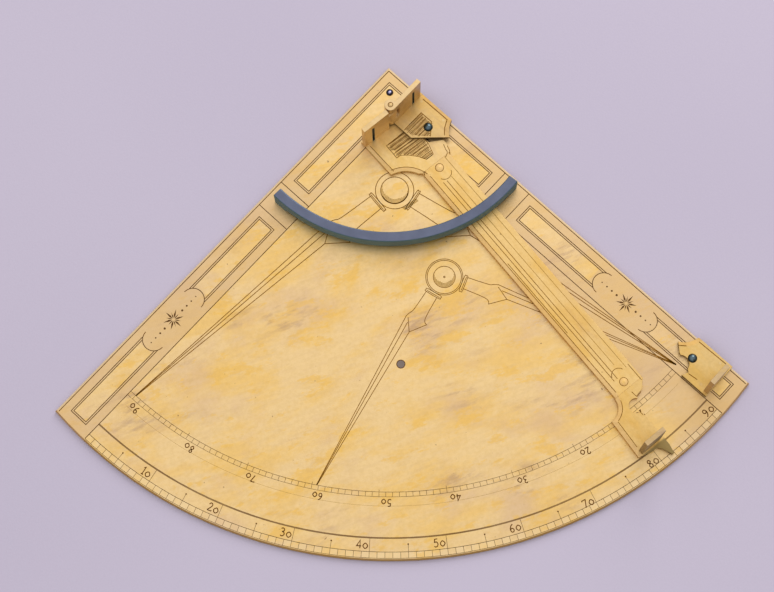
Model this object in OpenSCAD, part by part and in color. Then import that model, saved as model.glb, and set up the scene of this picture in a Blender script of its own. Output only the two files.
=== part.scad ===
// Gilt brass quadrant for altitudes and distances, lying on its back.
// The scale centre is the pivot of the sighting arm. A frame "along" an angle has its X axis on
// that reading of the outer scale, its Y axis towards higher readings and Z = 0 on the face.

/* [Quadrant plate] */
// Radius of the outer circle of the degree scale
scale_r = 275; // [230:1:330]
// Plate left outside the outer circle
rim_w = 1.5; // [1:0.1:3]
// Border between the zero or ninety line and the straight edge beside it
border_w = 25.4; // [22:0.2:31]
// Thickness of the plate
plate_t = 3; // [2:0.1:5]
// Bevel round the upper edge of the plate
edge_bevel = 1; // [0.4:0.1:1.5]

/* [Engraved scales] */
// Width of an engraved line
line_w = 0.5; // [0.3:0.05:0.8]
// Depth of an engraved line
line_depth = 0.25; // [0.15:0.05:0.5]
// Width of a degree tick and of the circles beside it
tick_w = 0.3; // [0.2:0.05:0.5]
// Depth of a degree tick
tick_depth = 0.12; // [0.06:0.01:0.14]
// Height of the band of single degrees on the outer scale
degree_band = 3.8; // [3:0.1:6]
// Height of the band of numbers inside it
number_band = 8.4; // [7:0.1:12]
// Distance from the outer circle of the outer scale in to the inner circle of the inner scale
scale_spread = 40.1; // [38:0.1:50]
// Height of the band of single degrees on the inner scale
inner_band = 2.9; // [2:0.1:5]

/* [Engraved borders] */
// Distance from the pivot to the first line across each border
cross_line_at = 75.4; // [60:0.2:90]
// Distance between the two lines across each border
cross_line_gap = 20; // [12:0.2:24]
// Height of the double frames along the borders
panel_w = 13.2; // [8:0.2:15]
// Distance from the zero or ninety line to the nearest frame
panel_inset = 5.4; // [5.4:0.1:7]
// Radius of the round bites at the ends of the frames beside the star
panel_bite_r = 6.9; // [5:0.1:8]
// Length of the longest rays of the star
star_r = 6.6; // [4:0.1:7]

/* [Pivot] */
// Radius of the post where the sighting arm turns
post_r = 2.6; // [2:0.1:4]
// Radius of the slim pin above it, which joins the two upper vanes
pin_r = 1.3; // [1:0.1:1.8]
// Radius of the vane knuckles
knuckle_r = 3.7; // [3.4:0.1:5]
// Running clearance round the post and the pin
fit_gap = 0.05; // [0.02:0.01:0.1]
// Gap between faces that slide past each other
slide_gap = 0.3; // [0.2:0.05:0.5]

/* [Sighting arm] */
// Reading of the outer scale at which the arm rests
rest_angle = 82.1; // [5:0.1:85]
// Thickness of the arm and of its end plates
arm_t = 3; // [2:0.1:4]
// Width of the bar on the low side of the fiducial line
bar_low_w = 6.9; // [5:0.1:9]
// Width of the bar on the high side of the fiducial line
bar_high_w = 14.3; // [12:0.1:14.5]
// Distance from the pivot to the seam between head and bar
head_l = 39.6; // [38:0.1:44]
// Distance from the outer circle of the scale in to the seam between bar and foot
foot_l = 50.5; // [49:0.1:70]
// Radius of the arm's two rivets
rivet_r = 2.5; // [1.5:0.1:3]
// Radius of the reading window over the inner scale
window_r = 4.6; // [3:0.1:5]
// Width of the wide bevel along the low side of the arm and the ends of the sights
wide_bevel_w = 2.5; // [1:0.1:3]
// Depth of the wide bevel at the edge
wide_bevel_d = 0.4; // [0.2:0.1:1.2]

/* [Sight vanes] */
// Height of every vane's top above the plate
vane_top = 34; // [28:0.5:40]
// Thickness of the vanes
vane_t = 3.2; // [2:0.1:3.4]
// Distance from the straight edge in to the outer end of the fixed upper vane
upper_vane_inset = 1.9; // [0.5:0.1:3]
// Distance from the fiducial line to the middle of the sight slit
slit_offset = 16.8; // [13:0.1:18]
// Width of the sight slit
slit_w = 1.3; // [0.8:0.1:2]
// Distance from the outer circle of the scale in to the near face of the lower vanes
lower_vane_inset = 17.4; // [17:0.1:19]
// Gap between a lower vane and the fiducial line
lower_vane_gap = 2.2; // [1:0.1:4]

/* [Fixed sight] */
// Thickness of the raised upper sight plate
sight_plate_t = 2.5; // [2:0.1:4]
// Distance from the pivot to the upper stud, along the ninety line
stud_along = 21; // [20:0.1:22]
// Distance from the ninety line to the upper stud
stud_across = 11.8; // [11.5:0.1:13]
// Radius of the domed heads of the blued studs
stud_head_r = 2.9; // [2.2:0.1:3.2]
// Radius of the blued studs below their heads
stud_r = 1.6; // [1:0.1:2]

/* [Steel bow] */
// Distance of the apex pin from each straight edge
apex_pin_inset = 11.8; // [10:0.1:14]
// Radius of the apex pin
apex_pin_r = 2; // [1:0.1:2.5]
// Inner radius of the bow, which is centred on the apex pin
bow_inner_r = 95; // [88:0.5:102]
// Width of the bow
bow_w = 6.3; // [5:0.1:7.5]
// Height of the bow's upper face above the plate
bow_top = 15; // [9:0.5:20]

/* [Centre rivet] */
// Distance of the centre rivet from the pivot
centre_rivet_at = 156; // [140:1:180]
// Radius of the centre rivet
centre_rivet_r = 2.5; // [1.5:0.1:3]

/* [Hidden] */
$fn = 96;

brass = "goldenrod";
pale_brass = "khaki";
blued_steel = "slategray";
dark_steel = "dimgray";

// Plate outline, with the apex at the top and the bounding box centred on the origin
rim_r = scale_r + rim_w;
corner_run = sqrt(rim_r * rim_r - border_w * border_w);
apex_rise = border_w * sqrt(2);
pivot_y = (rim_r - apex_rise) / 2;
zero_turn = 225;
quarter = 90;
tiny = 0.01;
past = 1;

// Radii that follow the outer scale
degree_r = scale_r - degree_band;
number_r = degree_r - number_band;
inner_scale_r = scale_r - scale_spread;
inner_top_r = inner_scale_r + inner_band;
lower_vane_at = scale_r - lower_vane_inset;
foot_start = scale_r - foot_l;

// Frames, star and dots of the borders, in the frame of a border whose X axis is its long line
edge_line_inset = 1.5;
panel_step = 1.2;
panel_end_gap = 5.6;
short_panel_from = -panel_inset - panel_w;
covered_panel_from = 2.5 - panel_inset;
long_panel_to = scale_r - 6.3;
star_at = (cross_line_at + cross_line_gap + panel_end_gap + long_panel_to) / 2;
bite_offset = 17.2;
ninety_bites_shift = 0.8;
ninety_star_shift = 1.9;
dots_from = 7.8;
dot_pitch = 4;
dot_sizes = [0.7, 0.6, 0.5, 0.4];
long_rays = 6;
ray_foot = 0.8;
ray_waist = 0.45;
long_ray_w = 1.2;
short_ray_w = 0.7;
short_ray_r = 0.72 * star_r;

// Heights above the plate's face
arm_bottom = slide_gap;
arm_top = arm_bottom + arm_t;
lap_z = arm_bottom + arm_t / 2;
riser_h = arm_top + slide_gap;
sight_plate_top = riser_h + sight_plate_t;
bow_bottom = riser_h + slide_gap;

// Upper vanes: three knuckles on one pin, of which the middle one turns with the arm
vane_front = knuckle_r;
vane_back = vane_front - vane_t;
upper_vane_w = border_w - upper_vane_inset;
vane_mid = (vane_front + vane_back) / 2;
knuckle_h = (vane_top - sight_plate_top) / 4;
knuckle_gap = slide_gap / 2;
knuckle_low = sight_plate_top + knuckle_h;
knuckle_high = vane_top - knuckle_h;
vane_clear = knuckle_r + 2 * slide_gap;
slit_head = 6;
slit_top = vane_top - slit_head;
slit_foot = 1;
tenon_t = 1.6;
tenon_l = 8;

// Centre of an arc that bites into the edge from p to q, with the piece on its left
function hollow_centre(p, q, radius) =
    let (run = q - p, half = norm(run) / 2)
    (p + q) / 2 + [run[1], -run[0]] / norm(run) * sqrt(radius * radius - half * half);

// Outline of the arm's head, in the arm's frame
collar_wall = 1.4;
collar_r = stud_r + collar_wall;
boss_r = 7;
head_back = -0.8;
head_corner = 28;
head_skew = 1;
head_arch_r = 19.3;
head_arch_at = [46.8, -26];
head_side = [
    [vane_front + slide_gap, -upper_vane_w + head_skew / 8],
    [head_corner, head_skew - upper_vane_w]
];
neck_b = stud_across - collar_r - 2.2;
neck_corner = [stud_along - 2.5, neck_b];
neck_rise = [stud_along + 5.4, neck_b + 2.6];
ogee_from = 31;
ogee_run = 4.4;
ogee_w = 2.9;
ogee_step = 1.2;
lap_l = 13;
rivet_inset = 3.9;
arm_mid = (bar_high_w - bar_low_w) / 2;
arm_rivets = [head_l + rivet_inset, foot_start - rivet_inset - 0.7];

// Outline of the arm's foot, in the arm's frame
window_at = inner_scale_r + inner_band / 2 - 0.4;
window_edge = window_at - window_r - 0.7;
cheek = [window_edge - 0.3, bar_high_w - 5];
cheek_top = foot_start + 0.9;
horn = [[window_edge + 2.2, 3.8], [window_edge + 0.7, 4.2]];
foot_bite_r = 9.8;
foot_bite_at = [foot_start - 0.4, -17.2];
foot_low_w = 17.4;
foot_flare = 19.8;
foot_end = lower_vane_at + vane_t + 2.7;
foot_toe = foot_end - 2.4;
foot_side = [[foot_start, -foot_low_w], [foot_toe, -foot_flare]];
foot_waist = 8.6;
foot_hollow = 0.2;
tip_r = degree_r + 1.3;
tip_w = 5;
tip_step = 2.4;
tip_run = 2.8;

// Fixed sight plates, in the frame along ninety
edge_gap = 2 * slide_gap;
sight_back = -1;
sight_l = 28.6;
sight_tip = [35.5, 16.1];
sight_elbow = 17.8;
sight_hollow_r = 16;
sight_hollow_at = hollow_centre(sight_tip, [sight_l, border_w], sight_hollow_r);
riser_from = bar_high_w + ogee_w + 1.3;
riser_mid = (riser_from + border_w) / 2;
steady_r = 0.9;
steady_shift = 0.6;
upper_steady = [[6.5, riser_mid - steady_shift], [25, riser_mid - steady_shift]];
plate_cheek = [cheek[0] + 1.05, cheek[1] + 0.9];
plate_cheek_top = [cheek_top + 0.8, bar_high_w + 0.7];
plate_corner = plate_cheek_top[0] + 7.6;
plate_hollow_r = 14;
plate_notch = [window_at + 0.4, 5.5];
plate_notch_r = window_r + 0.8;
plate_cusp = [[plate_notch[0] + 5.2, 6.2], [plate_notch[0] + 7.2, 4.6]];
plate_hollow_at = hollow_centre([plate_corner, border_w], plate_cheek_top, plate_hollow_r);
lower_plate_end = lower_vane_at + vane_t + 0.3;
lower_stud = [window_at + 3.6, 12.9];
lower_steady_at = lower_vane_at - 3.5;
lower_steady = [[lower_steady_at, 4.2], [lower_steady_at, border_w - 3.4]];
lower_vane_w = slit_offset - lower_vane_gap;
lower_vane_mid = lower_vane_at + vane_t / 2;
lower_vane_across = lower_vane_gap + lower_vane_w / 2;

// Bow and its two feet, in the frame along zero, whose Y axis is the ninety line
pin_place = apex_pin_inset - border_w;
bow_from = -2.4;
bow_to = 94.3;
bow_edge = 0.5;
low_foot_to = -(bar_low_w + 1.2);
high_foot_to = -(bar_high_w + 0.9);
low_screw_inset = 4.6;
high_screw_inset = 3;
bow_mid_r = bow_inner_r + bow_w / 2;
low_screw = asin((low_foot_to - low_screw_inset - pin_place) / bow_mid_r);
high_screw = acos((high_foot_to - high_screw_inset - pin_place) / bow_mid_r);
bow_screw_r = 1.3;
bow_screw_l = 6;

countersink_d = 1.2;
dome_h = 1.9;
rivet_dome = 0.35;

// Frame whose X axis runs from the pivot along a reading of the outer scale
module along(reading) {
    translate([0, pivot_y, plate_t])
        rotate(zero_turn + reading)
            children();
}

// Frame of the sighting arm at its rest reading
module on_arm() {
    along(rest_angle) children();
}

// Frame of the fixed sights, along the ninety line
module on_ninety() {
    along(quarter) children();
}

// Frame of the bow, centred on the apex pin
module on_apex_pin() {
    along(0)
        translate([pin_place, pin_place, 0])
            children();
}

// Extrusion between two heights
module slab(low, high) {
    translate([0, 0, low])
        linear_extrude(high - low)
            children();
}

// Round bar between two heights
module rod(radius, low, high) {
    translate([0, 0, low])
        cylinder(r = radius, h = high - low);
}

// Shallow dome that stands on a height
module dome(radius, height, base) {
    ball_r = (radius * radius + height * height) / (2 * height);
    translate([0, 0, base])
        intersection() {
            translate([0, 0, height - ball_r])
                sphere(r = ball_r);
            cylinder(r = radius, h = height);
        }
}

// Flush conical end on the back of the plate
module countersunk_end(radius) {
    translate([0, 0, -plate_t])
        cylinder(r1 = radius + countersink_d, r2 = radius, h = countersink_d);
}

// Fastener whose shank fills its hole in the plate and is riveted flush behind
module flush_shank(radius, top) {
    rod(radius, -plate_t, top);
    countersunk_end(radius);
}

// Tenon under a vane, and the mortise for it
module tenon(middle, across, low, high) {
    translate([middle - tenon_t / 2, across - tenon_l / 2, low])
        cube([tenon_t, tenon_l, high - low]);
}

// Sector with its two straight borders, square at the apex
module plate_outline() {
    intersection() {
        circle(r = rim_r, $fn = 360);
        translate([-border_w, -border_w])
            square(corner_run + 2 * border_w);
    }
}

// Section of the wide bevel, above the face that it leaves
module wide_bevel_section(edge) {
    polygon([
        [edge - past, -wide_bevel_d], [edge, -wide_bevel_d], [edge + wide_bevel_w, 0],
        [edge + wide_bevel_w, past], [edge - past, past]
    ]);
}

// Wide bevel along a straight edge from p to q, with the piece on its left
module wide_bevel(p, q, top, past) {
    run = q - p;
    translate([p[0], p[1], top])
        rotate([90, 0, 90 + atan2(run[1], run[0])])
            linear_extrude(norm(run) + past)
                wide_bevel_section(0);
}

// Wide bevel round a concave arc
module wide_bevel_ring(centre, radius, top) {
    translate([centre[0], centre[1], top])
        rotate_extrude()
            wide_bevel_section(radius);
}

// Engraved ring between zero and ninety
module ring_line(radius, width, depth) {
    translate([0, 0, -depth])
        rotate_extrude(angle = quarter, $fn = 360)
            translate([radius - width / 2, 0])
                square([width, 2 * depth]);
}

// Fine radial tick between two radii
module tick(reading, from_r, to_r) {
    rotate(reading)
        translate([from_r, -tick_w / 2, -tick_depth])
            cube([to_r - from_r, tick_w, 2 * tick_depth]);
}

// Both scales, cut with single degrees, fives and tens
module scale_lines() {
    ring_line(scale_r, tick_w, line_depth);
    ring_line(degree_r, tick_w, line_depth);
    ring_line(number_r, 2 * line_w, tick_depth);
    ring_line(inner_scale_r, tick_w, tick_depth);
    ring_line(inner_top_r, tick_w, tick_depth);
    for (reading = [1 : quarter - 1])
        tick(reading, degree_r, scale_r);
    for (reading = [5 : 10 : quarter - 5])
        tick(reading, degree_r - number_band / 2, degree_r + tiny);
    for (reading = [10 : 10 : quarter - 10])
        tick(reading, number_r, degree_r + tiny);
    for (reading = [1 : quarter - 1])
        tick(reading, inner_scale_r, inner_top_r);
    for (reading = [1 : 10 : quarter - 9])
        tick(reading, inner_scale_r - inner_band / 2, inner_scale_r + tiny);
}

// Flat shape cut to the depth of an engraved line
module engraved() {
    slab(-line_depth, line_depth) children();
}

// Long frame between two distances, with a round bite where it has a place for one
module panel(from_x, to_x, inset, bite_at, bite_r) {
    difference() {
        translate([from_x + inset, inset - panel_inset - panel_w])
            square([to_x - from_x - 2 * inset, panel_w - 2 * inset]);
        if (bite_at > 0)
            translate([bite_at, -panel_inset - panel_w / 2])
                circle(r = bite_r);
    }
}

// Two engraved lines round a panel, of which the inner one stops at the bite
module double_frame(from_x, to_x, bite_at) {
    inner = panel_step + line_w;
    engraved() {
        difference() {
            panel(from_x, to_x, 0, bite_at, panel_bite_r);
            panel(from_x, to_x, line_w, bite_at, panel_bite_r + line_w);
        }
        difference() {
            panel(from_x, to_x, panel_step, bite_at, panel_bite_r);
            panel(from_x, to_x, inner, bite_at, panel_bite_r);
        }
    }
}

// One ray of a star, widest near its foot
module ray(turn, tip, width) {
    rotate(turn)
        polygon([
            [ray_foot, 0], [ray_waist * tip, width / 2], [tip, 0], [ray_waist * tip, -width / 2]
        ]);
}

// Star of long and short rays that don't meet
module star() {
    pitch = 4 * quarter / long_rays;
    engraved()
        for (i = [0 : long_rays - 1]) {
            ray((i + 0.5) * pitch, star_r, long_ray_w);
            ray(i * pitch, short_ray_r, short_ray_w);
        }
}

// Lines, frames, star and dots of one border. The bites are as far from bites_at on either side.
module border_lines(first_panel_from, bites_at, star_place) {
    long_from = cross_line_at + cross_line_gap + panel_end_gap;
    engraved() {
        translate([0, -line_w / 2])
            square([scale_r, line_w]);
        translate([edge_line_inset - border_w, edge_line_inset - border_w])
            square([corner_run + border_w - 2 * edge_line_inset, line_w]);
        for (place = [cross_line_at, cross_line_at + cross_line_gap])
            translate([place, edge_line_inset - border_w])
                square([line_w, border_w - edge_line_inset]);
    }
    double_frame(first_panel_from, cross_line_at - panel_end_gap, 0);
    double_frame(long_from, bites_at - bite_offset, bites_at - bite_offset);
    double_frame(bites_at + bite_offset, long_panel_to, bites_at + bite_offset);
    translate([star_place, -panel_inset - panel_w / 2, 0]) {
        star();
        for (side = [-1, 1], i = [0 : len(dot_sizes) - 1])
            translate([side * (dots_from + i * dot_pitch), 0, 0])
                rod(dot_sizes[i], -line_depth, past);
    }
}

// Holes in the plate for everything that is fixed through it
module plate_holes() {
    along(0) {
        flush_shank(post_r, past);
        rotate(quarter / 2)
            translate([centre_rivet_at, 0, 0])
                flush_shank(centre_rivet_r, past);
    }
    on_apex_pin() {
        flush_shank(apex_pin_r, past);
        bow_screw_places()
            flush_shank(bow_screw_r, past);
    }
    on_ninety() {
        translate([stud_along, stud_across, 0])
            flush_shank(stud_r, past);
        translate(lower_stud)
            flush_shank(stud_r, past);
        for (place = concat(upper_steady, lower_steady))
            translate(place)
                rod(steady_r, -plate_t - past, past);
    }
}

// Bevel along one straight edge of the plate, in a frame whose X axis runs along that edge
module straight_bevel() {
    translate([-2 * border_w, 0, 0])
        rotate([45, 0, 0])
            translate([0, -edge_bevel, -edge_bevel / sqrt(2)])
                cube([corner_run + 4 * border_w, 2 * edge_bevel, sqrt(2) * edge_bevel]);
}

module quadrant_plate() {
    color(brass)
        difference() {
            along(0)
                slab(-plate_t, 0)
                    plate_outline();
            along(0) {
                translate([0, -border_w, 0])
                    straight_bevel();
                mirror([1, -1, 0])
                    translate([0, -border_w, 0])
                        straight_bevel();
                rotate_extrude($fn = 360)
                    polygon([
                        [rim_r - edge_bevel, 0], [rim_r, -edge_bevel], [rim_r + past, -edge_bevel],
                        [rim_r + past, past], [rim_r - edge_bevel, past]
                    ]);
                scale_lines();
                border_lines(short_panel_from, star_at, star_at);
                mirror([1, -1, 0])
                    border_lines(
                        covered_panel_from, star_at + ninety_bites_shift,
                        star_at + ninety_star_shift
                    );
            }
            plate_holes();
        }
}

module pivot_post() {
    color(pale_brass)
        along(0) {
            flush_shank(post_r, arm_top);
            rod(pin_r, 0, vane_top);
            dome(pin_r, rivet_dome, vane_top);
        }
}

module apex_pin() {
    color(dark_steel)
        on_apex_pin() {
            flush_shank(apex_pin_r, rivet_dome);
            dome(apex_pin_r, 2 * rivet_dome, rivet_dome);
        }
}

module centre_rivet() {
    color(pale_brass)
        along(quarter / 2)
            translate([centre_rivet_at, 0, 0])
                flush_shank(centre_rivet_r, 0);
}

// Bow with bevelled upper corners, before its underside is relieved for the arm
module bow_ring() {
    rotate(bow_from)
        rotate_extrude(angle = bow_to - bow_from, $fn = 360)
            translate([bow_inner_r, 0])
                polygon([
                    [0, 0], [bow_w, 0], [bow_w, bow_top - bow_edge], [bow_w - bow_edge, bow_top],
                    [bow_edge, bow_top], [0, bow_top - bow_edge]
                ]);
}

module bow_screw_places() {
    for (turn = [low_screw, high_screw])
        rotate(turn)
            translate([bow_mid_r, 0, 0])
                children();
}

module steel_bow() {
    color(blued_steel)
        difference() {
            on_apex_pin()
                bow_ring();
            along(0)
                translate([high_foot_to, low_foot_to, -past])
                    cube([rim_r, rim_r, bow_bottom + past]);
            on_apex_pin()
                bow_screw_places()
                    rod(bow_screw_r, -past, bow_screw_l);
        }
}

module bow_screws() {
    color(dark_steel)
        on_apex_pin()
            bow_screw_places()
                flush_shank(bow_screw_r, bow_screw_l);
}

// Raised sight plate, shaped to cover the head of the arm
module upper_plate_outline() {
    difference() {
        union() {
            polygon([
                [sight_back, -edge_gap], [sight_elbow, -edge_gap], sight_tip,
                [sight_l, border_w], [sight_back, border_w]
            ]);
            circle(r = knuckle_r + slide_gap / 2);
        }
        circle(r = pin_r);
        translate(sight_hollow_at)
            circle(r = sight_hollow_r);
    }
}

module upper_sight_plate() {
    color(brass)
        on_ninety()
            difference() {
                slab(riser_h, sight_plate_top)
                    upper_plate_outline();
                translate([stud_along, stud_across, 0])
                    rod(stud_r, 0, sight_plate_top + past);
                for (place = upper_steady)
                    translate(place)
                        rod(steady_r, 0, sight_plate_top + past);
                tenon(vane_mid, upper_vane_w - tenon_l, 0, sight_plate_top + past);
                wide_bevel_ring(sight_hollow_at, sight_hollow_r, sight_plate_top);
                wide_bevel([sight_l + past, border_w], [vane_front, border_w], sight_plate_top, 0);
            }
}

module upper_sight_riser() {
    color(brass)
        on_ninety()
            difference() {
                translate([sight_back, riser_from, 0])
                    cube([sight_l - sight_back, border_w - riser_from, riser_h]);
                for (place = upper_steady)
                    translate(place)
                        rod(steady_r, -past, riser_h + past);
            }
}

module upper_stud_collar() {
    color(brass)
        on_ninety()
            translate([stud_along, stud_across, 0])
                difference() {
                    rod(collar_r, 0, riser_h);
                    rod(stud_r, -past, riser_h + past);
                }
}

// Slab of an upper vane, cut back where it would meet the other vane's knuckles
module upper_vane_slab(side, base) {
    mirror([0, side, 0])
        difference() {
            translate([vane_back, vane_clear, base])
                cube([vane_t, upper_vane_w - vane_clear, vane_top - base]);
            translate([vane_back - past, slit_offset - slit_w / 2, base + slit_foot])
                cube([vane_t + 2 * past, slit_w, slit_top - base - slit_foot]);
        }
}

// Knuckle and the web that joins it to its slab
module knuckle(side, low, high) {
    rod(knuckle_r, low, high);
    mirror([0, side, 0])
        translate([vane_back, 0, low])
            cube([vane_t, vane_clear + tiny, high - low]);
}

module upper_sight_vane() {
    color(brass)
        on_ninety()
            difference() {
                union() {
                    upper_vane_slab(0, sight_plate_top);
                    knuckle(0, sight_plate_top, knuckle_low);
                    knuckle(0, knuckle_high, vane_top);
                    tenon(vane_mid, upper_vane_w - tenon_l, riser_h, sight_plate_top + past);
                }
                rod(pin_r, 0, vane_top + past);
            }
}

// Blued stud with a domed head, riveted flush behind the plate
module blued_stud(seat) {
    flush_shank(stud_r, seat);
    dome(stud_head_r, dome_h, seat);
}

module upper_sight_stud() {
    color(blued_steel)
        on_ninety()
            translate([stud_along, stud_across, 0])
                blued_stud(sight_plate_top);
}

module upper_steady_pins() {
    color(pale_brass)
        on_ninety()
            for (place = upper_steady)
                translate(place)
                    rod(steady_r, -plate_t, sight_plate_top);
}

// Lower fixed sight plate, whose notch and step match the foot of the arm
module lower_plate_outline() {
    difference() {
        polygon([
            plate_cheek_top, plate_cheek, plate_cusp[0], plate_cusp[1],
            [plate_cusp[0][0], edge_gap], [lower_plate_end, edge_gap],
            [lower_plate_end, border_w], [plate_corner, border_w]
        ]);
        translate(plate_notch)
            circle(r = plate_notch_r);
        translate(plate_hollow_at)
            circle(r = plate_hollow_r);
    }
}

module lower_sight_plate() {
    color(brass)
        on_ninety()
            difference() {
                slab(0, arm_top)
                    lower_plate_outline();
                translate(lower_stud)
                    rod(stud_r, -past, arm_top + past);
                for (place = lower_steady)
                    translate(place)
                        rod(steady_r, -past, arm_top + past);
                tenon(lower_vane_mid, lower_vane_across, -past, arm_top + past);
                wide_bevel_ring(plate_hollow_at, plate_hollow_r, arm_top);
            }
}

// Plain vane whose outer edge is in line with the slit of the upper vane
module lower_vane(side, tenon_low) {
    mirror([0, side, 0]) {
        translate([lower_vane_at, lower_vane_gap, arm_top])
            cube([vane_t, lower_vane_w, vane_top - arm_top]);
        tenon(lower_vane_mid, lower_vane_across, tenon_low, arm_top + past);
    }
}

module lower_sight_vane() {
    color(brass)
        on_ninety()
            lower_vane(0, 0);
}

module lower_sight_stud() {
    color(blued_steel)
        on_ninety()
            translate(lower_stud)
                blued_stud(arm_top);
}

module lower_steady_pins() {
    color(pale_brass)
        on_ninety()
            for (place = lower_steady)
                translate(place)
                    rod(steady_r, -plate_t, arm_top);
}

// Head of the arm, cut away on its high side where the stud's collar passes
module head_outline() {
    difference() {
        union() {
            polygon([
                [head_back, -upper_vane_w], [head_corner, head_skew - upper_vane_w],
                [head_l, -bar_low_w], [head_l, bar_high_w + ogee_step],
                [head_l - ogee_run, bar_high_w + ogee_w], [ogee_from, bar_high_w + ogee_w],
                neck_rise, neck_corner, [head_back, neck_b]
            ]);
            circle(r = boss_r);
        }
        translate(head_arch_at)
            circle(r = head_arch_r);
        circle(r = post_r + fit_gap);
    }
}

module arm_rivet_holes() {
    for (place = arm_rivets)
        translate([place, arm_mid, 0])
            rod(rivet_r, 0, arm_top + past);
}

module alidade_head() {
    color(brass)
        on_arm()
            difference() {
                union() {
                    slab(arm_bottom, arm_top)
                        head_outline();
                    translate([head_l - tiny, -bar_low_w, arm_bottom])
                        cube([lap_l, bar_low_w + bar_high_w, lap_z - arm_bottom]);
                }
                arm_rivet_holes();
                tenon(vane_mid, tenon_l - upper_vane_w, 0, arm_top + past);
                wide_bevel(head_side[0], head_side[1], arm_top, wide_bevel_w);
                wide_bevel_ring(head_arch_at, head_arch_r, arm_top);
            }
}

// Bar, halved over the tongues of the head and the foot
module alidade_bar() {
    width = bar_low_w + bar_high_w;
    color(brass)
        on_arm()
            difference() {
                translate([head_l, -bar_low_w, arm_bottom])
                    cube([foot_start - head_l, width, arm_t]);
                translate([head_l - past, -bar_low_w - past, 0])
                    cube([lap_l + past, width + 2 * past, lap_z]);
                translate([foot_start - lap_l, -bar_low_w - past, 0])
                    cube([lap_l + past, width + 2 * past, lap_z]);
                wide_bevel([head_l - past, -bar_low_w], [foot_start, -bar_low_w], arm_top, past);
                arm_rivet_holes();
            }
}

// Foot of the arm, with its reading window and its index for the outer scale
module foot_outline() {
    difference() {
        polygon([
            [foot_start, -bar_low_w], foot_side[0], foot_side[1],
            [foot_end - foot_hollow, foot_waist - foot_flare], [foot_end, -tip_w - tip_step],
            [foot_end + tip_run, -tip_w], [tip_r, -tip_w / 2], [tip_r, -tip_w / 4],
            [foot_end + tip_run, 0], [window_at, 0], horn[0], horn[1], cheek,
            [cheek_top, bar_high_w], [foot_start, bar_high_w]
        ]);
        translate(foot_bite_at)
            circle(r = foot_bite_r);
        translate([window_at, 0])
            circle(r = window_r);
    }
}

module alidade_foot() {
    color(brass)
        on_arm()
            difference() {
                union() {
                    slab(arm_bottom, arm_top)
                        foot_outline();
                    translate([foot_start - lap_l, -bar_low_w, arm_bottom])
                        cube([lap_l + tiny, bar_low_w + bar_high_w, lap_z - arm_bottom]);
                }
                wide_bevel(foot_side[0], foot_side[1], arm_top, wide_bevel_w);
                wide_bevel_ring(foot_bite_at, foot_bite_r, arm_top);
                arm_rivet_holes();
                tenon(lower_vane_mid, -lower_vane_across, 0, arm_top + past);
            }
}

module alidade_rivets() {
    color(pale_brass)
        on_arm()
            for (place = arm_rivets)
                translate([place, arm_mid, 0]) {
                    rod(rivet_r, arm_bottom, arm_top);
                    dome(rivet_r, rivet_dome, arm_top);
                }
}

module alidade_upper_vane() {
    color(brass)
        on_arm()
            difference() {
                union() {
                    upper_vane_slab(1, arm_top);
                    knuckle(1, knuckle_low + knuckle_gap, knuckle_high - knuckle_gap);
                    tenon(vane_mid, tenon_l - upper_vane_w, arm_bottom, arm_top + past);
                }
                rod(pin_r + fit_gap, 0, vane_top + past);
            }
}

module alidade_lower_vane() {
    color(brass)
        on_arm()
            lower_vane(1, arm_bottom);
}

quadrant_plate();
pivot_post();
apex_pin();
centre_rivet();
steel_bow();
bow_screws();
upper_sight_plate();
upper_sight_riser();
upper_stud_collar();
upper_sight_vane();
upper_sight_stud();
upper_steady_pins();
lower_sight_plate();
lower_sight_vane();
lower_sight_stud();
lower_steady_pins();
alidade_head();
alidade_bar();
alidade_foot();
alidade_rivets();
alidade_upper_vane();
alidade_lower_vane();
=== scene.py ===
"""Gilt brass quadrant with a sighting arm, lying on a pale table and seen from above."""

import bmesh
import bpy
import numpy as np
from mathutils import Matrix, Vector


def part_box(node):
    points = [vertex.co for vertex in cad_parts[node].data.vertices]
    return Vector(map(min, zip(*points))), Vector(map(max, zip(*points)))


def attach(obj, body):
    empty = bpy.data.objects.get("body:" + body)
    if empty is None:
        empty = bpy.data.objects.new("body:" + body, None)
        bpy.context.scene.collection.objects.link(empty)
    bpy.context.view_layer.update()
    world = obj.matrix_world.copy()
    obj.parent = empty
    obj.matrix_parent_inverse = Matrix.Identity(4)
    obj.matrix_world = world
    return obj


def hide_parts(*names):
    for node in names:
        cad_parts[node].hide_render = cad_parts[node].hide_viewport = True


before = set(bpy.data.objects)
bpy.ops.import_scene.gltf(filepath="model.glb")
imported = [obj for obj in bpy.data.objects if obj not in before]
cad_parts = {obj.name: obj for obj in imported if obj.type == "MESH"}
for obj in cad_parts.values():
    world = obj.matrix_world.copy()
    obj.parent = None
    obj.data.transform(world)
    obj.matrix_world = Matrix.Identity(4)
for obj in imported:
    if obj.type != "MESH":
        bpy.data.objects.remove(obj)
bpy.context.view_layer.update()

# Camera of the photograph, which stands almost straight above the near edge of the table.
# Its place, turn and lens were solved from the two degree scales and the straight borders.
scene = bpy.context.scene
scene.view_settings.view_transform = "Standard"
camera_data = bpy.data.cameras.new("camera")
camera_data.sensor_fit = "HORIZONTAL"
camera_data.sensor_width = 36
camera_data.lens = 99.42
camera = bpy.data.objects.new("camera", camera_data)
camera.location = (-0.00568, -0.29164, 1.29121)
camera.rotation_euler = np.radians([13.0626, 0.5666, -2.2193])
scene.collection.objects.link(camera)
scene.camera = camera


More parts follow.
